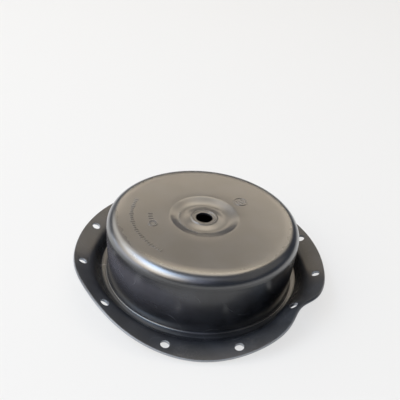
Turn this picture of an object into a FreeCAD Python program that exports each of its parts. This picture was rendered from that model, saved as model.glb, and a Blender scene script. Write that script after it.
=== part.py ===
import FreeCAD, Part
import math
import os

# Actuator diaphragm: a moulded rubber top hat with a limp bolting flange, standing on its foot ridge.
# Millimetres. +Z is up, the origin is on the dish's axis at the level it stands on, and -Y is the front.

# Dish
wall_thickness = 3.0
overall_height = 72.5
dish_radius = 102.5
wall_lean = 1.5
shoulder_radius = 12.5
foot_fillet = 3.0

# Recess and centre hole
centre_hole_radius = 9.0
recess_rim_radius = 37.0
recess_rim_angle = 24.0
recess_rim_share = 0.3
recess_depth = 4.9
trough_start, trough_end = 0.25, 0.5
hump_radius = 14.5
hump_depth = 2.7

# Sealing bead round the centre hole, and the moulded ridge along the channel floor
bead_radius = 13.2
bead_section_radius = 2.2
bead_proud = 0.9
ridge_gap = 3.1
ridge_proud = 0.45

# Flange, flat shape and bolt holes
flange_radius = 136.0
flat_share = 0.6743
floor_reach = 2.6
slope_lead, flat_lead = 0.55, 0.45
bolt_hole_radius = 4.5
bolt_hole_count = 12
bolt_edge_share = 0.4732
first_bolt_angle = 20.1
bolt_creep_angle = 4.1

# Flange, relaxed shape: how high its edge stands over the channel floor, and how it tilts
flange_rise = 19.6
front_sag, front_sag_angle, front_sag_left, front_sag_right = 17.6, -85.1, 33.9, 33.3
fold_lift, fold_angle, fold_front, fold_back = 12.9, -33.6, 14.8, 22.5
left_lift, left_angle, left_width = 9.6, -143.4, 20.1
notch_depth, notch_angle, notch_width = 6.7, -37.6, 7.7
level_tilt, level_rise, tilt_per_rise = -3.9, 2.05, 1.371

# Fineness of the curves
shoulder_steps = 4
foot_steps = 2
ring_steps = 6
recess_steps = 5
flange_steps = 4
flange_sections = 72
flange_patches = 6
seam_angle = 90.0
small_turn = 0.5
cutter_reach = 3 * wall_thickness

floor_top = wall_thickness + ridge_proud
ridge_radius = dish_radius + ridge_gap
flange_width = flat_share * (flange_radius - ridge_radius)
bolt_edge_distance = bolt_edge_share * flange_width
axis = FreeCAD.Vector(0, 0, 1)


def bend(centre, radius, start, end, steps):
    """Points as radius and height along an arc between two angles in degrees."""
    angles = [math.radians(start + (end - start) * step / steps) for step in range(steps + 1)]
    return [(centre[0] + radius * math.cos(angle), centre[1] + radius * math.sin(angle)) for angle in angles]


def smooth(poles, steps):
    """Points as radius and height along a smooth curve that is led by its poles."""
    spans = len(poles) - 3
    knots = [span / spans for span in range(spans + 1)]
    curve = Part.BSplineCurve()
    curve.buildFromPolesMultsKnots(
        [FreeCAD.Vector(radius, 0, height) for radius, height in poles],
        [4] + [1] * (spans - 1) + [4], knots, False, 3)
    points = [curve.value(step / steps) for step in range(steps + 1)]
    return [(point.x, point.z) for point in points]


def underside(top):
    """The points of a top skin moved one wall thickness to its other side."""
    legs = [math.atan2(b[1] - a[1], b[0] - a[0]) for a, b in zip(top, top[1:])]
    moved = []
    for number, (radius, height) in enumerate(top):
        before = legs[max(number - 1, 0)]
        after = legs[min(number, len(legs) - 1)]
        middle = (before + after) / 2
        reach = wall_thickness / math.cos((after - before) / 2)
        moved.append((radius + reach * math.sin(middle), height - reach * math.cos(middle)))
    return moved


def turned(points):
    """A solid of revolution with the given outline."""
    corners = [FreeCAD.Vector(radius, 0, height) for radius, height in points]
    outline = Part.makePolygon(corners + corners[:1])
    return Part.Face(outline).revolve(FreeCAD.Vector(), axis, 360)


def recess_top():
    """The recess's top skin, from the centre hole over the hump to the rim."""
    hump = overall_height - hump_depth
    lowest = overall_height - recess_depth
    width = recess_rim_radius - hump_radius
    rim_step = recess_rim_share * recess_rim_radius
    rim_drop = rim_step * math.tan(math.radians(recess_rim_angle))
    poles = [(hump_radius, hump),
             (hump_radius + trough_start * width, lowest),
             (hump_radius + trough_end * width, lowest),
             (recess_rim_radius - rim_step, overall_height - rim_drop),
             (recess_rim_radius, overall_height)]
    return [(centre_hole_radius, hump)] + smooth(poles, recess_steps)


def dish():
    """The top hat in one wall: recess, flat, shoulder, leaning wall and foot, ending inside the ridge."""
    lean = math.radians(wall_lean)
    shoulder = (dish_radius - shoulder_radius, overall_height - shoulder_radius)
    foot_height = floor_top + foot_fillet
    wall_height = shoulder[1] - foot_height
    wall_inset = (shoulder_radius + foot_fillet) / math.cos(lean) - wall_height * math.tan(lean)
    foot = (shoulder[0] + wall_inset, foot_height)
    top = recess_top()
    top += bend(shoulder, shoulder_radius, 90, -wall_lean, shoulder_steps)
    top += bend(foot, foot_fillet, 180 - wall_lean, 270, foot_steps)
    top.append((ridge_radius, floor_top))
    return turned(top + underside(top)[::-1])


def moulded_ring(radius, top, section_radius):
    """A rounded ring that stands proud of the wall it sits in, flat along its top and bottom."""
    half_step = 180 / ring_steps
    corner = section_radius / math.cos(math.radians(half_step))
    first = 90 + half_step
    return turned(bend((radius, top - section_radius), corner, first, first + 360, ring_steps)[:-1])


def lobe(angle, centre, width_before, width_after):
    """A smooth hump of height 1 at the centre angle, with its own width on each side."""
    offset = (angle - centre + 180) % 360 - 180
    width = width_after if offset > 0 else width_before
    return math.exp(-(offset / width) ** 2)


def flange_edge(angle):
    """Radius and height of the flange's top edge, and its tilt in radians, at an angle in degrees."""
    rise = flange_rise
    rise -= front_sag * lobe(angle, front_sag_angle, front_sag_left, front_sag_right)
    rise += fold_lift * lobe(angle, fold_angle, fold_front, fold_back)
    rise += left_lift * lobe(angle, left_angle, left_width, left_width)
    radius = flange_radius - notch_depth * lobe(angle, notch_angle, notch_width, notch_width)
    tilt = math.radians(level_tilt + tilt_per_rise * (rise - level_rise))
    return radius, floor_top + rise, tilt


def flange_top(angle):
    """The flange's top skin at an angle, from inside the ridge up the channel's slope and out to the edge."""
    radius, height, tilt = flange_edge(angle)
    crest = (radius - flange_width * math.cos(tilt), height - flange_width * math.sin(tilt))
    floor_end = (ridge_radius + floor_reach, floor_top)
    edge = (radius, height)
    slope = [end + slope_lead * (far - end) for end, far in zip(floor_end, crest)]
    middle = [end + flat_lead * (far - end) for end, far in zip(edge, crest)]
    return smooth([(ridge_radius, floor_top), floor_end, slope, crest, middle, edge], flange_steps)


def hoop(track):
    """A closed smooth curve round the axis through one (radius, height) point per section."""
    points = []
    for number, (radius, height) in enumerate(track):
        angle = math.radians(seam_angle + 360 * number / flange_sections)
        points.append(FreeCAD.Vector(radius * math.cos(angle), radius * math.sin(angle), height))
    curve = Part.BSplineCurve()
    steps = [number / flange_sections for number in range(flange_sections + 1)]
    curve.interpolate(Points=points, PeriodicFlag=True, Parameters=steps)
    return curve


def skin(sections):
    """Patches of a surface round the axis, smooth round it and straight from one row of points to the next."""
    hoops = [hoop(track) for track in zip(*sections)]
    patches = []
    for inner, outer in zip(hoops, hoops[1:]):
        strip = Part.BSplineSurface()
        strip.buildFromPolesMultsKnots(
            [list(pair) for pair in zip(inner.getPoles(), outer.getPoles())],
            inner.getMultiplicities(), [2, 2], inner.getKnots(), [0, 1], True, False, inner.Degree, 1)
        for number in range(flange_patches):
            patch = strip.copy()
            patch.segment(number / flange_patches, (number + 1) / flange_patches, 0, 1)
            patches.append(patch.toShape())
    return patches


def flange():
    """The limp flange with the channel's outer slope, as a closed band."""
    angles = [seam_angle + 360 * number / flange_sections for number in range(flange_sections)]
    tops = [flange_top(angle) for angle in angles]
    bottoms = [underside(top) for top in tops]
    edges = [(top[-1], bottom[-1]) for top, bottom in zip(tops, bottoms)]
    starts = [(top[0], bottom[0]) for top, bottom in zip(tops, bottoms)]
    shell = Part.makeShell(skin(tops) + skin(bottoms) + skin(edges) + skin(starts))
    shell.sewShape()
    return Part.makeSolid(shell)


def flange_spot(angle, from_edge):
    """A point on the flange's top skin, a distance in from its edge."""
    radius, height, tilt = flange_edge(angle)
    radius -= from_edge * math.cos(tilt)
    around = math.radians(angle)
    return FreeCAD.Vector(radius * math.cos(around), radius * math.sin(around),
                          height - from_edge * math.sin(tilt))


def bolt_hole(number):
    """A cutter square to the flange where the flange is limp and tilted."""
    angle = first_bolt_angle - 360 / bolt_hole_count * number
    angle += bolt_creep_angle * math.cos(math.radians(angle))
    spot = flange_spot(angle, bolt_edge_distance)
    along = flange_spot(angle + small_turn, bolt_edge_distance) - spot
    normal = (flange_spot(angle, 0) - spot).cross(along).normalize()
    return Part.makeCylinder(bolt_hole_radius, 2 * cutter_reach, spot - normal * cutter_reach, normal)


bead = moulded_ring(bead_radius, overall_height - hump_depth + bead_proud, bead_section_radius)
ridge = moulded_ring(ridge_radius, floor_top + ridge_proud, wall_thickness / 2 + ridge_proud)
diaphragm = dish().fuse([flange(), ridge, bead])
diaphragm = diaphragm.cut([bolt_hole(number) for number in range(bolt_hole_count)])

os.makedirs("parts", exist_ok=True)
diaphragm.Solids[0].exportStep("parts/diaphragm.step")
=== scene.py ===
import math
from functools import partial

import bmesh
import bpy
import numpy as np
from bpy.props import FloatProperty, FloatVectorProperty, PointerProperty
from mathutils import Matrix, Vector


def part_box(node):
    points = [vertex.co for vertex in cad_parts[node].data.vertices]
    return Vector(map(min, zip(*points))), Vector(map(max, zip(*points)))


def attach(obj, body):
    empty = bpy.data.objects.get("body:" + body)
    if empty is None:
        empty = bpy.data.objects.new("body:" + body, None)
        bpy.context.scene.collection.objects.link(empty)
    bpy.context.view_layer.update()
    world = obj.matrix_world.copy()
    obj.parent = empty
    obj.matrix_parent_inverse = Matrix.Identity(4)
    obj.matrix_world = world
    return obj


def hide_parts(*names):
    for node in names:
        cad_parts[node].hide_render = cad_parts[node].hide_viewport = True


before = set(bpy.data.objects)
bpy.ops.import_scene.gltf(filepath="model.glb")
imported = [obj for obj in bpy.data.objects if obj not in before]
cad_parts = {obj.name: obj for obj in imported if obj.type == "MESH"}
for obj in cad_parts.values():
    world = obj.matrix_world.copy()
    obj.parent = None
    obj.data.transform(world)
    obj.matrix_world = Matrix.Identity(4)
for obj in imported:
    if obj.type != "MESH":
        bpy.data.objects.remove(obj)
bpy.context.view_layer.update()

bl_info = {
    "name": "Actuator diaphragm",
    "version": (1, 0, 0),
    "blender": (4, 5, 0),
    "location": "View3D > Sidebar > Diaphragm",
    "description": "Models a moulded rubber top hat diaphragm with a limp bolting flange",
    "category": "Mesh",
}

MM = 0.001

# Faces of the turned skin round the axis, and its steps along each run of its profile, from the centre outwards
TURN_STEPS = 360
HUMP_STEPS = 11
RECESS_STEPS = 22
TOP_STEPS = 4
EASE_STEPS = 6
SHOULDER_STEPS = 16
PARTING_STEPS = 8
WALL_STEPS = 6
FOOT_STEPS = 6
CHANNEL_STEPS = 5
RIDGE_STEPS = 6
SLOPE_STEPS = 8
INNER_STEPS = 2
EDGE_STEPS = 3

# Segments of the rounding along sharp edges and along the recess's rim, and of a raised ring
ROUNDING_STEPS = 3
RIM_STEPS = 4
RING_STEPS = 48

# Points of the profile that lie closer than this are one, and edges that bend more than this are sharp
TOLERANCE = 0.01 * MM
SHARP_ANGLE = math.radians(50)

# Widths of the rounding along the recess's rim, the moulding's corners and the raised marks
RIM_ROUNDING = 1.2 * MM
CORNER_ROUNDING = 0.35 * MM
MARK_ROUNDING = 0.3 * MM

# The recess's lead line from the sealing bead's flat to the rim: each leg's width in mm and its slope in degrees
RECESS_LEGS = ((2.0, -7), (3.0, -14), (2.8, -10), (3.0, -1), (3.0, 11), (3.5, 20), (5.5, 24))

# How much of the sealing bead's height also stands out of the underside
INNER_BEAD = 0.5

# The parting line under the shoulder: the finely stepped run that carries it, how far down it lies, its height
# and half its width
PARTING_RUN = 2.4 * MM
PARTING_DROP = 1.2 * MM
PARTING_PROUD = 0.06 * MM
PARTING_WIDTH = 0.5 * MM

# The bolt holes: how many, how many faces the block that each one opens reaches to each side, and the radius of
# the collar of even faces round a hole, in hole radii
HOLE_COUNT = 12
HOLE_CELLS = 3
HOLE_COLLAR = 1.3

# The relaxed flange's bends: the angle of each one's middle and its widths on both sides, in degrees round the
# axis, anticlockwise seen from above, with the front at -90
SAG_PLACE = (-85.1, 33.9, 33.3)
FOLD_PLACE = (-33.6, 14.8, 22.5)
LIFT_PLACE = (-143.4, 20.1, 20.1)
NOTCH_PLACE = (-37.6, 7.7, 7.7)

# The flange's tilt in degrees where its edge stands at the level rise in mm, and for each mm that it rises more
LEVEL_TILT = -3.9
LEVEL_RISE = 2.05
TILT_PER_RISE = 1.371

# How far the leads of the channel's slope and of the bolting face reach towards the crest between them, how many
# leads that curve has, its steps, and a small turn along the flange
SLOPE_LEAD = 0.55
FLAT_LEAD = 0.45
FLANGE_LEADS = 6
FLANGE_STEPS = 60
SMALL_TURN = math.radians(0.5)

# The raised marks on the top: how many there are, their places as distances from the axis and angles in degrees
# like those of the flange, and their lengths, widths and offsets as shares of a bar, a line or a ring's radius
SCALE_COUNT = 29
SCALE_START = 168
SCALE_STEP = 2.6
LONG_BAR_EVERY = 4
SHORT_BAR_LENGTH = 0.62
DIAL_PLACE = (57 * MM, 205)
DIAL_BAR_ANGLES = (196.75, 192.35, 187.95)
TICK_COUNT = 12
TICK_LENGTH = 0.25
TICK_WIDTH = 0.6
TICK_OFFSET = 0.65
RIBBED_PLACE = (51 * MM, 42)
RIB_LENGTH = 1.25
RIB_OFFSETS = (-0.45, 0, 0.45)
DOT_COUNT = 17
DOT_START = 168
DOT_STEP = 6

# The stage: half the floor's side in metres, how bright the floor glows, how wide that glow fades out towards the
# part, and the share of the lit floor that shows with it
FLOOR_REACH = 4.0
FLOOR_GLOW = 0.68
GLOW_BORDER = 4 * MM
SHADE_SHARE = 0.2

# The world: how bright the camera sees it, and the colour and strength of the light that it gives
BACKGROUND_GLOW = 0.91
ROOM_COLOUR = "#b8ccf0"
ROOM_LIGHT = 0.1

# Every lamp stands this far off, in metres. A wide window at the left has three bands, yard, fence and sky, each
# with its elevation, its colour and the brightness of its five panes, whose azimuths start at the first pane's.
LAMP_DISTANCE = 3.0
PANE_START = 172
PANE_STEP = 18
PANE_SPREAD = (9.5, 7.8)
WINDOW = (("yard", 25, "#fff1dc", (1.9, 2.6, 3.9, 3.5, 1.5)),
          ("fence", 41, "#f8f7f5", (3.3, 3.7, 5.5, 5.4, 3.0)),
          ("sky", 56, "#c9e1ff", (2.5, 4.2, 6.0, 2.6, 1.9)))

# Soft boxes for the bright walls behind, the ceiling and the room in front: name, azimuth, elevation, spread,
# brightness and colour
SOFT_BOXES = (("window_low", 188, 7, (30, 6), 2.4, "#eaf1ff"),
              ("side_low", 142, 30, (14, 8), 1.9, "#fff8ee"),
              ("side_high", 150, 48, (14, 12), 2.1, "#fff5e5"),
              ("ceiling", 90, 71.5, (19, 9.5), 2.65, "#fff3df"),
              ("ceiling_left", 132, 66, (8, 7), 0.7, "#ffecd0"),
              ("wall_high", 80, 57.5, (18, 6), 3.2, "#ffedd0"),
              ("wall_right", 62, 40, (12, 7), 1.5, "#fff1da"),
              ("wall_left", 114, 37, (10, 8), 0.6, "#ffedd0"),
              ("wall_low", 90, 30, (27, 3.5), 3.5, "#ffedd2"),
              ("right_fill", 350, 45, (28, 20), 0.3, "#fff6e6"),
              ("front_high", 262, 66, (20, 11), 0.7, "#f3f3ff"),
              ("front_fill", 262, 40, (16, 13), 0.6, "#d9dcff"))

# The photograph's camera: film width and lens in mm, place in metres, and in radians how far it turns to the
# left, looks down and rolls
CAMERA_FILM = 36
CAMERA_LENS = 49.06
CAMERA_PLACE = (0, -0.4739, 0.40105)
CAMERA_TURN = 0.0136
CAMERA_DOWN = 0.5791
CAMERA_ROLL = 0.1045


def linear(hex_colour):
    """The linear RGBA of an sRGB hex colour."""
    channels = [int(hex_colour[start:start + 2], 16) / 255 for start in (1, 3, 5)]
    return tuple(c / 12.92 if c <= 0.04045 else ((c + 0.055) / 1.055) ** 2.4 for c in channels) + (1.0,)


def length_prop(name, description, millimetres):
    """A length property with its default in millimetres."""
    return FloatProperty(name=name, description=description, default=millimetres * MM,
                         min=0.0, unit="LENGTH", precision=5)


def angle_prop(name, description, degrees):
    """An angle property with its default in degrees."""
    return FloatProperty(name=name, description=description, default=math.radians(degrees), unit="ROTATION")


def colour_prop(name, description, hex_colour):
    """A colour property with its default as an sRGB hex value."""
    return FloatVectorProperty(name=name, description=description, default=linear(hex_colour)[:3],
                               subtype="COLOR", min=0.0, max=1.0)


class DishSizes(bpy.types.PropertyGroup):
    """Sizes of the top hat."""
    wall: length_prop("Wall", "Thickness of the rubber wall", 3.0)
    height: FloatProperty(name="Height", description="Height of the flat top over the ground",
                          default=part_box("diaphragm")[1].z, min=0.0, unit="LENGTH", precision=5)
    radius: length_prop("Radius", "Outer radius of the top hat's wall", 102.5)
    lean: angle_prop("Lean", "Angle by which the wall leans in towards its foot", 1.5)
    shoulder: length_prop("Shoulder", "Radius of the rounding between the top and the wall", 12.5)
    ease: angle_prop("Ease", "Angle by which the top has turned down where its shoulder starts", 7.0)
    ease_run: length_prop("Ease width", "Width over which the top turns down before its shoulder", 8.0)
    foot: length_prop("Foot", "Radius of the hollow between the wall and the channel's floor", 3.0)
    hole: length_prop("Centre hole", "Radius of the centre hole", 9.0)
    rim: length_prop("Recess rim", "Radius of the recess in the top", 37.0)
    bead: length_prop("Bead", "Radius of the sealing bead round the centre hole", 13.0)
    bead_width: length_prop("Bead width", "Half the width of the sealing bead", 1.25)
    bead_proud: length_prop("Bead height", "Height of the sealing bead over its flat", 0.7)


class FlangeSizes(bpy.types.PropertyGroup):
    """Sizes of the channel, the flange and its bolt holes."""
    ridge: length_prop("Ridge", "Radius of the moulded ridge along the channel's floor", 105.6)
    ridge_width: length_prop("Ridge width", "Half the width of the ridge", 2.6)
    ridge_proud: length_prop("Ridge height", "Height of the ridge over the channel's floor", 0.45)
    radius: length_prop("Flange", "Outer radius of the flange", 136.0)
    flat: length_prop("Flat", "Width of the flange's bolting face", 20.5)
    floor: length_prop("Floor", "Width of the channel's floor beyond the ridge", 2.6)
    hole: length_prop("Bolt hole", "Radius of a bolt hole", 4.5)
    hole_inset: length_prop("Hole inset", "Distance of the bolt holes' centres from the edge", 9.7)
    first_hole: angle_prop("First hole", "Angle of the first bolt hole before the flange creeps", 20.1)
    creep: angle_prop("Creep", "Angle by which the resting flange draws its holes to the front", 4.1)
    rise: length_prop("Rise", "Height of the flange's edge over the channel's floor where nothing bends it", 19.6)
    sag: length_prop("Front sag", "How far the flange's edge drops at the front", 17.6)
    fold: length_prop("Fold", "How far the fold at the front right stands up", 12.9)
    lift: length_prop("Left lift", "How far the edge lifts at the left", 9.6)
    notch: length_prop("Notch", "How far the edge draws in at the fold", 6.7)


class MarkSizes(bpy.types.PropertyGroup):
    """Sizes of the plain raised marks on the top."""
    proud: length_prop("Height", "Height of the raised marks over the rubber", 0.45)
    line: length_prop("Line", "Width of a raised line", 1.3)
    scale_radius: length_prop("Scale radius", "Radius of the scale of bars along the top's left", 76.5)
    scale_bar: length_prop("Scale bar", "Length of a bar of the scale", 5.0)
    dial: length_prop("Dial", "Radius of the ring with ticks", 4.6)
    ribbed: length_prop("Ribbed ring", "Radius of the ring with ribs", 7.2)
    dot: length_prop("Dot", "Radius of a dot in the recess", 1.0)
    dots_radius: length_prop("Dots radius", "Radius of the row of dots in the recess", 26.5)


class Finish(bpy.types.PropertyGroup):
    """Colours of the rubber and of the stage."""
    rubber: colour_prop("Rubber", "Black rubber as it leaves the mould", "#111317")
    bloom: colour_prop("Bloom", "Greyish bloom and mould release on the rubber", "#34373d")
    dust: colour_prop("Dust", "Dust and talc that lies on the flange", "#7d7a73")
    # Painted sheen, a lighter grey on the wall's left side where the window's light falls
    painted_sheen: colour_prop("Haze", "Thin film of talc on the wall's left side", "#77767f")
    # Real scuffs, and a painted highlight on the flange's trimmed edge and punched holes
    cut: colour_prop("Cut", "Bare rubber at the trimmed edge, the punched holes and in scuffs", "#9da1a6")
    floor: colour_prop("Floor", "Pale floor", "#e4e4e2")


def drawn_run(bm, start, radius, height, steps):
    """Draws a straight run of the profile from a vertex and returns its last vertex."""
    step = (Vector((radius, 0, height)) - start.co) / steps
    for _ in range(steps):
        start = bmesh.ops.extrude_vert_indiv(bm, verts=[start])["verts"][0]
        bmesh.ops.translate(bm, vec=step, verts=[start])
    return start


def drawn_arc(bm, start, centre, angle, steps):
    """Draws an arc of the profile by turning a vertex about a centre, clockwise seen from the front."""
    made = bmesh.ops.spin(bm, geom=[start], cent=(centre[0], 0, centre[1]), axis=(0, 1, 0), angle=angle,
                          steps=steps, use_duplicate=False)
    return made["geom_last"][0]


def lead_weights(count, shares):
    """How much each lead point of a smooth cubic curve counts at the given shares of the way along it."""
    inner = count - 3
    knots = np.concatenate([np.zeros(3), np.linspace(0, 1, inner + 1), np.ones(3)])

    # The last share is kept just inside the last span
    at = np.clip(shares, 0, 1 - 1e-9)[:, None]
    weights = ((knots[:-1] <= at) & (at < knots[1:])).astype(float)
    for degree in range(1, 4):
        span = knots[degree:] - knots[:-degree]
        safe = np.where(span > 0, span, 1)
        rising = (at - knots[:-degree]) / safe * (span > 0)
        falling = (knots[degree:] - at) / safe * (span > 0)
        weights = rising[:, :-1] * weights[:, :-1] + falling[:, 1:] * weights[:, 1:]
    return weights


def floor_level(dish, flange):
    """The height of the channel's floor, whose wall is lifted by the ridge that the part stands on."""
    return dish.wall + flange.ridge_proud


def hole_circle(flange):
    """The radius of the circle of bolt holes on the flat flange, and the width of one face of the skin there."""
    radius = flange.radius - flange.hole_inset
    return radius, 2 * math.pi * radius / TURN_STEPS


def draw_profile(bm, dish, flange):
    """Draws the top skin's profile from the centre hole to the flange's edge, with the flange still flat."""
    legs = np.array([(width * MM, width * MM * math.tan(math.radians(slope))) for width, slope in RECESS_LEGS])
    to_rim = np.concatenate([np.cumsum(legs[::-1], axis=0)[::-1], np.zeros((1, 2))])
    leads = np.array((dish.rim, dish.height)) - to_rim
    hump_radius, hump = leads[0]
    vert = bm.verts.new((dish.hole, 0, hump))
    vert = drawn_run(bm, vert, hump_radius, hump, HUMP_STEPS)

    # The recess starts as a straight run, whose points then move to the smooth line that its legs lead
    first = vert
    vert = drawn_run(bm, vert, dish.rim, dish.height, RECESS_STEPS)
    way = sorted((v for v in bm.verts if v.co.x >= first.co.x), key=lambda v: v.co.x)
    for v, (radius, height) in zip(way, lead_weights(len(leads), np.linspace(0, 1, len(way))) @ leads):
        v.co = (radius, 0, height)

    # The top falls away gently before its shoulder, which sits lower by as much
    fall = dish.ease_run * math.tan(dish.ease / 2)
    centre = (dish.radius - dish.shoulder, dish.height - fall - dish.shoulder * math.cos(dish.ease))
    ease_start = centre[0] + dish.shoulder * math.sin(dish.ease) - dish.ease_run
    vert = drawn_run(bm, vert, ease_start, dish.height, TOP_STEPS)
    ease_centre = (ease_start, dish.height - dish.ease_run / math.sin(dish.ease))
    vert = drawn_arc(bm, vert, ease_centre, dish.ease, EASE_STEPS)
    vert = drawn_arc(bm, vert, centre, math.pi / 2 + dish.lean - dish.ease, SHOULDER_STEPS)

    # The wall leans in from the shoulder to the hollow at its foot
    floor_top = floor_level(dish, flange)
    foot_height = floor_top + dish.foot
    drop = centre[1] - foot_height
    foot_radius = centre[0] + (dish.shoulder + dish.foot) / math.cos(dish.lean) - drop * math.tan(dish.lean)
    vert = drawn_run(bm, vert, vert.co.x - PARTING_RUN * math.tan(dish.lean), vert.co.z - PARTING_RUN,
                     PARTING_STEPS)
    wall_end = (foot_radius - dish.foot * math.cos(dish.lean), foot_height + dish.foot * math.sin(dish.lean))
    vert = drawn_run(bm, vert, *wall_end, WALL_STEPS)
    vert = drawn_arc(bm, vert, (foot_radius, foot_height), -math.pi / 2 - dish.lean, FOOT_STEPS)
    vert = drawn_run(bm, vert, flange.ridge, floor_top, CHANNEL_STEPS)

    # The flange's flat face carries an even block of faces for each bolt hole
    vert = drawn_run(bm, vert, flange.ridge + flange.ridge_width, floor_top, RIDGE_STEPS)
    vert = drawn_run(bm, vert, flange.radius - flange.flat, floor_top, SLOPE_STEPS)
    circle_radius, cell = hole_circle(flange)
    vert = drawn_run(bm, vert, circle_radius - HOLE_CELLS * cell, floor_top, INNER_STEPS)
    vert = drawn_run(bm, vert, circle_radius + HOLE_CELLS * cell, floor_top, 2 * HOLE_CELLS)
    drawn_run(bm, vert, flange.radius, floor_top, EDGE_STEPS)


def cut_bolt_hole(bm, hole_points, number, angle, dish, flange):
    """Opens a round hole in the flat flange: a block of faces goes, and its edges are drawn in to the hole.

    The layer of hole points numbers those of the collar and the hole, so that they can be trued up later.
    """
    circle_radius, cell = hole_circle(flange)
    floor_top = floor_level(dish, flange)
    turned = Matrix.Rotation(angle, 4, "Z")
    centre = turned @ Vector((circle_radius, 0, floor_top))
    back = turned.inverted()

    # A tenth of a face more than the block, so that its own edges count as inside
    reach = (HOLE_CELLS + 0.1) * cell

    def inside(point):
        local = back @ point
        out = math.hypot(local.x, local.y) - circle_radius
        along = math.atan2(local.y, local.x) * circle_radius
        return abs(out) < reach and abs(along) < reach and local.z < 2 * floor_top

    block = [face for face in bm.faces if inside(face.calc_center_median())]
    bmesh.ops.delete(bm, geom=block, context="FACES")
    edges = [edge for edge in bm.edges if edge.is_boundary and all(inside(v.co) for v in edge.verts)]
    for mark, radius in ((2 * number + 1, HOLE_COLLAR * flange.hole), (2 * number + 2, flange.hole)):
        made = bmesh.ops.extrude_edge_only(bm, edges=edges)["geom"]
        edges = [part for part in made if isinstance(part, bmesh.types.BMEdge)]
        for v in {v for edge in edges for v in edge.verts}:
            v.co = centre + (v.co - centre).normalized() * radius
            v[hole_points] = mark


def lobe(angle, centre, before, after):
    """A smooth hump of height 1 at the centre angle, with its own width on each side, in degrees."""
    offset = (math.degrees(angle) - centre + 180) % 360 - 180
    return math.exp(-(offset / (after if offset > 0 else before)) ** 2)


FLANGE_WEIGHTS = lead_weights(FLANGE_LEADS, np.linspace(0, 1, FLANGE_STEPS + 1))


def flange_place(angle, inset, dish, flange):
    """Where a point of the flat flange, an inset from the edge, lies on the relaxed flange."""
    rise = flange.rise
    rise -= flange.sag * lobe(angle, *SAG_PLACE)
    rise += flange.fold * lobe(angle, *FOLD_PLACE)
    rise += flange.lift * lobe(angle, *LIFT_PLACE)
    radius = flange.radius - flange.notch * lobe(angle, *NOTCH_PLACE)
    tilt = math.radians(LEVEL_TILT + TILT_PER_RISE * (rise / MM - LEVEL_RISE))
    floor_top = floor_level(dish, flange)
    edge = np.array((radius, floor_top + rise))
    crest = edge - flange.flat * np.array((math.cos(tilt), math.sin(tilt)))
    floor_end = np.array((flange.ridge + flange.floor, floor_top))
    leads = np.array(((flange.ridge, floor_top), floor_end, floor_end + SLOPE_LEAD * (crest - floor_end), crest,
                      edge + FLAT_LEAD * (crest - edge), edge))
    way = (FLANGE_WEIGHTS @ leads)[::-1]

    # The face keeps its distances from the edge, and the slope takes up the rest of the curve
    gone = np.concatenate([[0], np.cumsum(np.hypot(*np.diff(way, axis=0).T))])
    if inset <= flange.flat:
        want = inset
    else:
        rest = (inset - flange.flat) / (flange.radius - flange.ridge - flange.flat)
        want = flange.flat + rest * (gone[-1] - flange.flat)
    out = np.interp(want, gone, way[:, 0])
    return Vector((out * math.cos(angle), out * math.sin(angle), np.interp(want, gone, way[:, 1])))


def relax_flange(bm, hole_points, hole_angles, dish, flange):
    """Moves the flat flange to the shape it takes at rest, and trues up its holes."""
    for v in bm.verts:
        radius = math.hypot(v.co.x, v.co.y)
        angle = math.atan2(v.co.y, v.co.x)
        angle += flange.creep * math.cos(angle)
        if radius > flange.ridge + TOLERANCE and v.co.z < dish.height / 2:
            v.co = flange_place(angle, flange.radius - radius, dish, flange)
        else:
            v.co = (radius * math.cos(angle), radius * math.sin(angle), v.co.z)
    frames = []
    for angle in hole_angles:
        angle += flange.creep * math.cos(angle)
        centre = flange_place(angle, flange.hole_inset, dish, flange)
        out = flange_place(angle, 0, dish, flange) - centre
        along = flange_place(angle + SMALL_TURN, flange.hole_inset, dish, flange) - centre
        frames.append((centre, out.cross(along).normalized()))
    for v in bm.verts:
        if not v[hole_points]:
            continue
        centre, normal = frames[(v[hole_points] - 1) // 2]
        true_radius = flange.hole if v[hole_points] % 2 == 0 else HOLE_COLLAR * flange.hole
        across = v.co - centre
        height = across.dot(normal)
        across -= normal * height
        v.co = centre + normal * height + across.normalized() * true_radius


def cap(distance, half_width):
    """The rounded cross-section of a moulded line, 1 at its middle and 0 beyond its sides."""
    near = max(0.0, 1 - (distance / half_width) ** 2)
    return near * near * (3 - 2 * near)


def mould_lines(bm, outer_count, dish, flange):
    """Raises the sealing bead, the channel's ridge and the parting line on a walled skin."""
    floor_top = floor_level(dish, flange)
    parting = dish.height - dish.shoulder - PARTING_DROP
    for v in bm.verts:
        radius = math.hypot(v.co.x, v.co.y)
        outside = v.index < outer_count
        if radius < dish.bead + 2 * dish.bead_width:
            side = 1 if outside else -INNER_BEAD
            v.co.z += side * dish.bead_proud * cap(radius - dish.bead, dish.bead_width)
        elif abs(radius - flange.ridge) < 2 * flange.ridge_width and v.co.z < 2 * floor_top:
            side = 1 if outside else -1
            v.co.z += side * flange.ridge_proud * cap(radius - flange.ridge, flange.ridge_width)
        elif outside and abs(v.co.z - parting) < PARTING_WIDTH:
            scale = 1 + PARTING_PROUD * cap(v.co.z - parting, PARTING_WIDTH) / radius
            v.co.x *= scale
            v.co.y *= scale


def round_sharp_edges(bm, width):
    """Rounds the edges where a bmesh turns a sharp corner."""
    sharp = [edge for edge in bm.edges if edge.calc_face_angle(0) > SHARP_ANGLE]
    bmesh.ops.bevel(bm, geom=sharp, affect="EDGES", offset=width, segments=ROUNDING_STEPS, profile=0.5,
                    material=-1)


def mark_spot(skin, radius, degrees):
    """The frame of a spot on the top seen from above: X points outwards, Z out of the rubber."""
    angle = math.radians(degrees)
    out = Vector((math.cos(angle), math.sin(angle), 0))
    hit, where, normal, _ = skin.ray_cast(out * radius + Vector((0, 0, 1)), Vector((0, 0, -1)))
    if not hit:
        raise RuntimeError("no rubber under a raised mark")
    out = (out - out.dot(normal) * normal).normalized()
    turn = Matrix((out, normal.cross(out), normal)).transposed()
    return Matrix.Translation(where) @ turn.to_4x4()


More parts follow.
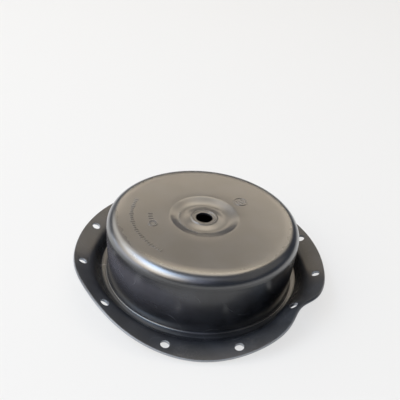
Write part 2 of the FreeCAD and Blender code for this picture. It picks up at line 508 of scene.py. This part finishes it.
def raised_bar(bm, spot, along, across, marks, place=(0, 0)):
    """A low bar at a place in a spot's frame, sunk a little into the rubber."""
    depth = 2 * marks.proud
    middle = Vector((*place, marks.proud - depth / 2))
    bmesh.ops.create_cube(bm, size=1, matrix=spot @ Matrix.Translation(middle)
                          @ Matrix.Diagonal((along, across, depth, 1)))


def raised_ring(bm, spot, radius, marks):
    """A low ring round a spot, sunk a little into the rubber."""
    disc = bmesh.ops.create_circle(bm, cap_ends=True, segments=RING_STEPS, radius=radius + marks.line / 2,
                                   matrix=spot @ Matrix.Translation((0, 0, -marks.proud)))
    face = disc["verts"][0].link_faces[0]
    ring = bmesh.ops.inset_region(bm, faces=[face], use_boundary=True, use_even_offset=True,
                                  thickness=marks.line)["faces"]
    bmesh.ops.delete(bm, geom=[face], context="FACES_ONLY")
    grown = bmesh.ops.extrude_face_region(bm, geom=ring, use_keep_orig=True)["geom"]
    bmesh.ops.translate(bm, vec=spot.to_3x3() @ Vector((0, 0, 2 * marks.proud)),
                        verts=[v for v in grown if isinstance(v, bmesh.types.BMVert)])


def add_node(tree, kind, settings=None, **inputs):
    """Adds a node to a tree, sets its properties and inputs, and links each input that is a socket or a node.

    An input goes by its name with underscores for spaces, or by its number after an i. A node gives its first
    output.
    """
    node = tree.nodes.new(kind)
    for key, value in (settings or {}).items():
        setattr(node, key, value)
    for key, value in inputs.items():
        numbered = key[0] == "i" and key[1:].isdigit()
        socket = node.inputs[int(key[1:]) if numbered else key.replace("_", " ")]
        if isinstance(value, bpy.types.Node):
            value = value.outputs[0]
        if isinstance(value, bpy.types.NodeSocket):
            tree.links.new(value, socket)
        else:
            socket.default_value = value
    return node


def emptied(owner):
    """Gives a material or the world an empty node tree, and returns what adds a node to it."""
    owner.use_nodes = True
    owner.node_tree.nodes.clear()
    return partial(add_node, owner.node_tree)


def moulded_rubber(finish):
    """Compression moulded black rubber with a satin skin.

    The eye sees fine turned lines and slow waves from the mould, soft bloom that is greyer on the flange, dust,
    a painted sheen on the wall's left side, a few hairline scuffs, a painted highlight on the flange's trimmed
    edge and punched holes, and a clear film of release agent on the top.
    """
    material = bpy.data.materials.new("moulded_black_rubber")
    add = emptied(material)

    place = add("ShaderNodeTexCoord").outputs["Object"]
    apart = add("ShaderNodeSeparateXYZ", i0=place)
    right, height = apart.outputs["X"], apart.outputs["Z"]
    flat = add("ShaderNodeCombineXYZ", X=right, Y=apart.outputs["Y"], Z=0.0)
    radius = add("ShaderNodeVectorMath", {"operation": "LENGTH"}, i0=flat).outputs["Value"]

    # Bloom in soft patches of about 25 mm
    patches = add("ShaderNodeTexNoise", Vector=place, Scale=1 / (25 * MM), Detail=3.0, Roughness=0.55)
    bloomed = add("ShaderNodeMapRange", Value=patches, i1=0.4, i2=0.72, i3=0.0, i4=0.4)

    # The flange has cured greyer than the dish, so the bloom grows over 14 mm from the channel's slope outwards
    greyer = add("ShaderNodeMapRange", Value=radius, i1=110 * MM, i2=124 * MM, i3=0.0, i4=0.38)
    bloomed = add("ShaderNodeMath", {"operation": "ADD", "use_clamp": True}, i0=bloomed, i1=greyer)
    colour = add("ShaderNodeMix", {"data_type": "RGBA"}, Factor=bloomed, i6=(*finish.rubber, 1),
                 i7=(*finish.bloom, 1))

    # Dust lies in specks of about 2 mm on what faces up, inside patches of about 40 mm on the flange
    up = add("ShaderNodeSeparateXYZ", i0=add("ShaderNodeNewGeometry").outputs["Normal"]).outputs["Z"]
    dusty = add("ShaderNodeMapRange", Value=up, i1=0.75, i2=0.98, i3=0.0, i4=1.0)
    on_flange = add("ShaderNodeMapRange", Value=radius, i1=112 * MM, i2=120 * MM, i3=0.0, i4=0.6)
    fields = add("ShaderNodeTexNoise", Vector=place, Scale=1 / (40 * MM), Detail=1.0)
    in_field = add("ShaderNodeMapRange", Value=fields, i1=0.45, i2=0.7, i3=0.0, i4=1.0)
    specks = add("ShaderNodeTexNoise", Vector=place, Scale=1 / (2 * MM), Detail=4.0, Roughness=0.7)
    in_speck = add("ShaderNodeMapRange", Value=specks, i1=0.5, i2=0.75, i3=0.0, i4=0.5)
    for share in (on_flange, in_field, in_speck):
        dusty = add("ShaderNodeMath", {"operation": "MULTIPLY"}, i0=dusty, i1=share)

    # Painted sheen: the wall's left side, where the window's light falls, is painted a little lighter grey, less
    # towards the front, the foot and the shoulder
    sheen_share = add("ShaderNodeMapRange", Value=right, i1=15 * MM, i2=-95 * MM, i3=0.0, i4=0.4)
    below_top = add("ShaderNodeMapRange", Value=height, i1=48 * MM, i2=60 * MM, i3=1.0, i4=0.0)
    over_foot = add("ShaderNodeMapRange", Value=height, i1=10 * MM, i2=38 * MM, i3=0.0, i4=1.0)
    on_dish = add("ShaderNodeMapRange", Value=radius, i1=103 * MM, i2=105 * MM, i3=1.0, i4=0.0)
    for share in (below_top, over_foot, on_dish):
        sheen_share = add("ShaderNodeMath", {"operation": "MULTIPLY"}, i0=sheen_share, i1=share)

    # Hairline scuffs about half a millimetre wide: the level lines of a slow noise, left only here and there
    slow = add("ShaderNodeTexNoise", Vector=place, Scale=1 / (34 * MM), Detail=0.0)
    off_line = add("ShaderNodeMath", {"operation": "SUBTRACT"}, i0=slow, i1=0.5)
    off_line = add("ShaderNodeMath", {"operation": "ABSOLUTE"}, i0=off_line)
    scuffed = add("ShaderNodeMapRange", Value=off_line, i1=0.0, i2=0.005, i3=1.0, i4=0.0)
    rubs = add("ShaderNodeTexNoise", Vector=place, Scale=1 / (18 * MM), Detail=1.0)
    rubbed = add("ShaderNodeMapRange", Value=rubs, i1=0.5, i2=0.62, i3=0.0, i4=0.12)
    for share in (rubbed, below_top):
        scuffed = add("ShaderNodeMath", {"operation": "MULTIPLY"}, i0=scuffed, i1=share)

    # Painted highlight: the steep faces of the flange's trimmed edge and of its punched holes are painted pale, in
    # the scuffs' colour, for the window's light that catches them
    steep = add("ShaderNodeMath", {"operation": "ABSOLUTE"}, i0=up)
    steep = add("ShaderNodeMapRange", Value=steep, i1=0.35, i2=0.6, i3=0.7, i4=0.0)
    outer = add("ShaderNodeMapRange", Value=radius, i1=120 * MM, i2=122 * MM, i3=0.0, i4=1.0)
    trimmed = add("ShaderNodeMath", {"operation": "MULTIPLY"}, i0=steep, i1=outer)
    pale = add("ShaderNodeMath", {"operation": "MAXIMUM"}, i0=scuffed, i1=trimmed)
    # Real dust, the painted sheen, and the real scuffs with the painted edge highlight are mixed into the colour
    for share, tint in ((dusty, finish.dust), (sheen_share, finish.painted_sheen), (pale, finish.cut)):
        colour = add("ShaderNodeMix", {"data_type": "RGBA"}, Factor=share, i6=colour.outputs[2], i7=(*tint, 1))

    # Satin rubber starts from a roughness of about 0.35, matched to 0.26 to 0.29 in streaks that run up and down.
    # Bloom, dust, the scuffs, the painted edge highlight and the grey flange are duller, and stacking has
    # burnished the shoulder.
    stretched = add("ShaderNodeMapping", Vector=place, Scale=(1, 1, 0.25))
    streaks = add("ShaderNodeTexNoise", Vector=stretched, Scale=1 / (9 * MM), Detail=3.0)
    rough = add("ShaderNodeMapRange", Value=streaks, i1=0.3, i2=0.7, i3=0.26, i4=0.29)
    for cause, gain in ((bloomed, 0.06), (dusty, 0.5), (pale, 0.3), (greyer, 0.3)):
        rough = add("ShaderNodeMath", {"operation": "MULTIPLY_ADD"}, i0=cause, i1=gain, i2=rough)
    handled = add("ShaderNodeMapRange", Value=radius, i1=84 * MM, i2=94 * MM, i3=0.04, i4=-0.03)
    rough = add("ShaderNodeMath", {"operation": "ADD"}, i0=rough, i1=handled)

    # A turned mould leaves fine lines, drawn as coarse as 1.6 mm apart so that they show, and rubber this thin
    # settles in slow waves of about 40 mm
    along = add("ShaderNodeMath", {"operation": "SUBTRACT"}, i0=radius, i1=height)
    lines = add("ShaderNodeTexNoise", {"noise_dimensions": "1D"}, W=along, Scale=1 / (1.6 * MM), Detail=2.0)
    waves = add("ShaderNodeTexNoise", Vector=place, Scale=1 / (40 * MM), Detail=1.0, Roughness=0.4)
    relief = add("ShaderNodeMath", {"operation": "MULTIPLY_ADD"}, i0=lines, i1=0.004, i2=waves)
    bump = add("ShaderNodeBump", Strength=1.0, Distance=0.4 * MM, Height=relief)

    # The mould is polished where it presses the top and the foot ridge, and its release agent stays there as a
    # thin clear film
    film = add("ShaderNodeMapRange", Value=height, i1=61 * MM, i2=65 * MM, i3=0.0, i4=1.0)
    off_ridge = add("ShaderNodeMath", {"operation": "SUBTRACT"}, i0=radius, i1=105.8 * MM)
    off_ridge = add("ShaderNodeMath", {"operation": "ABSOLUTE"}, i0=off_ridge)
    ridge_film = add("ShaderNodeMapRange", Value=off_ridge, i1=1.8 * MM, i2=3.2 * MM, i3=1.0, i4=0.0)
    film = add("ShaderNodeMath", {"operation": "MAXIMUM"}, i0=film, i1=ridge_film)

    # Rubber's IOR of about 1.52 and a wax film's of about 1.45 are matched to the photo's sheen at 1.68 and 1.9
    surface = add("ShaderNodeBsdfPrincipled", Base_Color=colour.outputs[2], Roughness=rough, Normal=bump,
                  IOR=1.68, Coat_Weight=film, Coat_Roughness=0.3, Coat_IOR=1.9, Coat_Normal=bump)
    add("ShaderNodeOutputMaterial", Surface=surface)
    return material


def rubber(context):
    """The rubber's material, made when it is first asked for."""
    return bpy.data.materials.get("moulded_black_rubber") or moulded_rubber(context.scene.finish)


def pale_paper(name, colour, glow, covered):
    """Matt pale paper: lit as it is, while the camera, gloss and glass see it nearly evenly bright.

    It doesn't glow inside the covered radius, where the part keeps the light out.
    """
    material = bpy.data.materials.new(name)
    add = emptied(material)
    rays = add("ShaderNodeLightPath")
    seen = rays.outputs["Is Camera Ray"]
    for ray in ("Is Glossy Ray", "Is Transmission Ray"):
        seen = add("ShaderNodeMath", {"operation": "ADD", "use_clamp": True}, i0=seen, i1=rays.outputs[ray])
    paper = add("ShaderNodeBsdfDiffuse", Color=(*colour, 1))
    shade = add("ShaderNodeBsdfDiffuse", Color=(*(SHADE_SHARE * channel for channel in colour), 1))
    place = add("ShaderNodeTexCoord").outputs["Object"]
    out = add("ShaderNodeVectorMath", {"operation": "LENGTH"}, i0=place).outputs["Value"]
    open_air = add("ShaderNodeMapRange", Value=out, i1=covered, i2=covered + GLOW_BORDER, i3=0.0, i4=glow)
    light = add("ShaderNodeEmission", Color=(1, 1, 1, 1), Strength=open_air)
    bright = add("ShaderNodeAddShader", i0=shade, i1=light)
    mixed = add("ShaderNodeMixShader", i0=seen, i1=paper, i2=bright)
    add("ShaderNodeOutputMaterial", Surface=mixed)
    return material


def shown(bm, name):
    """Makes an object at the origin from a bmesh, with smooth faces."""
    for face in bm.faces:
        face.smooth = True
    mesh = bpy.data.meshes.new(name)
    bm.to_mesh(mesh)
    bm.free()
    piece = bpy.data.objects.new(name, mesh)
    bpy.context.scene.collection.objects.link(piece)
    return piece


def applied(piece):
    """Applies a piece's modifiers to its mesh."""
    evaluated = piece.evaluated_get(bpy.context.evaluated_depsgraph_get())
    mesh = bpy.data.meshes.new_from_object(evaluated)
    piece.modifiers.clear()
    piece.data = mesh


def add_lamp(name, azimuth, elevation, spread, brightness, colour):
    """Adds a soft rectangular lamp that faces the part.

    The angles are in degrees, with +X at 0 and the front at -90. The spread is how far the lamp reaches to each
    side and up and down, as the part sees it.
    """
    lamp = bpy.data.lights.new(name, "AREA")
    lamp.shape = "RECTANGLE"
    lamp.size, lamp.size_y = (2 * LAMP_DISTANCE * math.tan(math.radians(reach)) for reach in spread)
    lamp.energy = math.pi * lamp.size * lamp.size_y * brightness
    lamp.color = linear(colour)[:3]
    holder = bpy.data.objects.new(name, lamp)
    around, up = math.radians(azimuth), math.radians(elevation)
    back = Vector((math.cos(around) * math.cos(up), math.sin(around) * math.cos(up), math.sin(up)))
    holder.location = back * LAMP_DISTANCE
    holder.rotation_euler = back.to_track_quat("Z", "Y").to_euler()
    bpy.context.scene.collection.objects.link(holder)


class DIAPHRAGM_OT_moulding(bpy.types.Operator):
    """Models the rubber moulding and lets it stand for the solid"""
    bl_idname = "mesh.diaphragm_moulding"
    bl_label = "Rubber moulding"

    def execute(self, context):
        dish, flange = context.scene.dish_sizes, context.scene.flange_sizes

        # The profile is turned round the axis from the first bolt hole on
        bm = bmesh.new()
        hole_points = bm.verts.layers.int.new("hole")
        draw_profile(bm, dish, flange)
        bmesh.ops.rotate(bm, cent=(0, 0, 0), matrix=Matrix.Rotation(flange.first_hole, 3, "Z"), verts=bm.verts)
        bmesh.ops.spin(bm, geom=bm.verts[:] + bm.edges[:], cent=(0, 0, 0), axis=(0, 0, 1), angle=2 * math.pi,
                       steps=TURN_STEPS, use_merge=True, use_duplicate=False)
        bmesh.ops.remove_doubles(bm, verts=bm.verts, dist=TOLERANCE)

        # The flange is holed while it is flat, and then relaxed
        hole_angles = [flange.first_hole - math.radians(360 / HOLE_COUNT) * number for number in range(HOLE_COUNT)]
        for number, angle in enumerate(hole_angles):
            cut_bolt_hole(bm, hole_points, number, angle, dish, flange)
        relax_flange(bm, hole_points, hole_angles, dish, flange)

        # The skin faces up, and the recess's rim is rounded
        bmesh.ops.recalc_face_normals(bm, faces=bm.faces)
        bm.faces.ensure_lookup_table()
        if max(bm.faces, key=lambda face: face.calc_center_median().z).normal.z < 0:
            bmesh.ops.reverse_faces(bm, faces=bm.faces)
        rim = [edge for edge in bm.edges if all(
            abs(math.hypot(v.co.x, v.co.y) - dish.rim) < TOLERANCE and v.co.z > dish.height - TOLERANCE
            for v in edge.verts)]
        bmesh.ops.bevel(bm, geom=rim, affect="EDGES", offset=RIM_ROUNDING, segments=RIM_STEPS, profile=0.5,
                        material=-1)
        outer_count = len(bm.verts)
        piece = shown(bm, "rubber_moulding")

        wall = piece.modifiers.new("wall", "SOLIDIFY")
        wall.thickness = dish.wall
        wall.offset = -1
        wall.use_even_offset = True
        applied(piece)

        # The wall's points come after the outer skin's, which tells the two apart
        bm = bmesh.new()
        bm.from_mesh(piece.data)
        bm.verts.ensure_lookup_table()
        mould_lines(bm, outer_count, dish, flange)
        bm.normal_update()
        round_sharp_edges(bm, CORNER_ROUNDING)
        for face in bm.faces:
            face.smooth = True
        bm.to_mesh(piece.data)
        bm.free()
        piece.data.materials.append(rubber(context))
        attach(piece, "root")
        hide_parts("diaphragm")
        return {"FINISHED"}


class DIAPHRAGM_OT_marks(bpy.types.Operator):
    """Adds plain raised marks to the top: a scale, a dial, a ribbed ring and a row of dots"""
    bl_idname = "mesh.diaphragm_marks"
    bl_label = "Plain raised marks"

    def execute(self, context):
        marks = context.scene.mark_sizes
        skin = bpy.data.objects["rubber_moulding"]
        bm = bmesh.new()
        for number in range(SCALE_COUNT):
            spot = mark_spot(skin, marks.scale_radius, SCALE_START + SCALE_STEP * number)
            share = SHORT_BAR_LENGTH if number % LONG_BAR_EVERY else 1
            raised_bar(bm, spot, marks.scale_bar * share, marks.line, marks)

        dial = mark_spot(skin, *DIAL_PLACE)
        raised_ring(bm, dial, marks.dial, marks)
        for number in range(TICK_COUNT):
            turned = dial @ Matrix.Rotation(math.radians(360 / TICK_COUNT * number), 4, "Z")
            raised_bar(bm, turned, TICK_LENGTH * marks.dial, TICK_WIDTH * marks.line, marks,
                       (TICK_OFFSET * marks.dial, 0))
        for angle in DIAL_BAR_ANGLES:
            raised_bar(bm, mark_spot(skin, DIAL_PLACE[0], angle), marks.scale_bar, marks.line, marks)

        ribbed = mark_spot(skin, *RIBBED_PLACE)
        raised_ring(bm, ribbed, marks.ribbed, marks)
        for offset in RIB_OFFSETS:
            raised_bar(bm, ribbed, marks.line, RIB_LENGTH * marks.ribbed, marks, (offset * marks.ribbed, 0))
        round_sharp_edges(bm, MARK_ROUNDING)

        for number in range(DOT_COUNT):
            flat = Matrix.Diagonal((1, 1, marks.proud / marks.dot, 1))
            spot = mark_spot(skin, marks.dots_radius, DOT_START + DOT_STEP * number)
            bmesh.ops.create_uvsphere(bm, u_segments=16, v_segments=8, radius=marks.dot, matrix=spot @ flat)
        bmesh.ops.recalc_face_normals(bm, faces=bm.faces)
        piece = shown(bm, "raised_marks")
        piece.data.materials.append(rubber(context))
        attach(piece, "root")
        return {"FINISHED"}


class DIAPHRAGM_OT_stage(bpy.types.Operator):
    """Sets up the pale floor, the soft studio light and the photograph's camera"""
    bl_idname = "scene.diaphragm_stage"
    bl_label = "Stage, light and camera"

    def execute(self, context):
        scene = context.scene
        scene.view_settings.view_transform = "Standard"

        bm = bmesh.new()
        bmesh.ops.create_grid(bm, x_segments=1, y_segments=1, size=FLOOR_REACH)
        floor = shown(bm, "floor")
        floor.data.materials.append(pale_paper("matt_pale_paper", scene.finish.floor, FLOOR_GLOW,
                                               scene.flange_sizes.ridge))

        world = bpy.data.worlds.new("soft_room")
        add = emptied(world)
        rays = add("ShaderNodeLightPath")
        dim = add("ShaderNodeBackground", Color=linear(ROOM_COLOUR), Strength=ROOM_LIGHT)
        pale = add("ShaderNodeBackground", Color=(1, 1, 1, 1), Strength=BACKGROUND_GLOW)
        mixed = add("ShaderNodeMixShader", i0=rays.outputs["Is Camera Ray"], i1=dim, i2=pale)
        add("ShaderNodeOutputWorld", Surface=mixed)
        scene.world = world

        for band, elevation, colour, panes in WINDOW:
            for number, brightness in enumerate(panes):
                add_lamp(f"{band}_{number}", PANE_START + PANE_STEP * number, elevation, PANE_SPREAD, brightness,
                         colour)
        for lamp in SOFT_BOXES:
            add_lamp(*lamp)

        camera = bpy.data.cameras.new("camera")
        camera.sensor_width = CAMERA_FILM
        camera.lens = CAMERA_LENS
        holder = bpy.data.objects.new("camera", camera)
        turn = (Matrix.Rotation(CAMERA_TURN, 4, "Z") @ Matrix.Rotation(math.pi / 2 - CAMERA_DOWN, 4, "X")
                @ Matrix.Rotation(CAMERA_ROLL, 4, "Z"))
        holder.matrix_world = Matrix.Translation(CAMERA_PLACE) @ turn
        scene.collection.objects.link(holder)
        scene.camera = holder
        return {"FINISHED"}


class DIAPHRAGM_PT_panel(bpy.types.Panel):
    """Lists the diaphragm's steps, sizes and colours"""
    bl_idname = "DIAPHRAGM_PT_panel"
    bl_label = "Actuator diaphragm"
    bl_space_type = "VIEW_3D"
    bl_region_type = "UI"
    bl_category = "Diaphragm"

    def draw(self, context):
        layout = self.layout
        for operator in (DIAPHRAGM_OT_moulding, DIAPHRAGM_OT_marks, DIAPHRAGM_OT_stage):
            layout.operator(operator.bl_idname)
        scene = context.scene
        for group in (scene.dish_sizes, scene.flange_sizes, scene.mark_sizes, scene.finish):
            box = layout.box()
            for name in group.__annotations__:
                box.prop(group, name)


CLASSES = (DishSizes, FlangeSizes, MarkSizes, Finish, DIAPHRAGM_OT_moulding, DIAPHRAGM_OT_marks,
           DIAPHRAGM_OT_stage, DIAPHRAGM_PT_panel)


def register():
    for cls in CLASSES:
        bpy.utils.register_class(cls)
    bpy.types.Scene.dish_sizes = PointerProperty(type=DishSizes)
    bpy.types.Scene.flange_sizes = PointerProperty(type=FlangeSizes)
    bpy.types.Scene.mark_sizes = PointerProperty(type=MarkSizes)
    bpy.types.Scene.finish = PointerProperty(type=Finish)


def unregister():
    del bpy.types.Scene.finish
    del bpy.types.Scene.mark_sizes
    del bpy.types.Scene.flange_sizes
    del bpy.types.Scene.dish_sizes
    for cls in reversed(CLASSES):
        bpy.utils.unregister_class(cls)


def main():
    register()
    bpy.ops.mesh.diaphragm_moulding()
    bpy.ops.mesh.diaphragm_marks()
    bpy.ops.scene.diaphragm_stage()


if __name__ == "__main__":
    main()
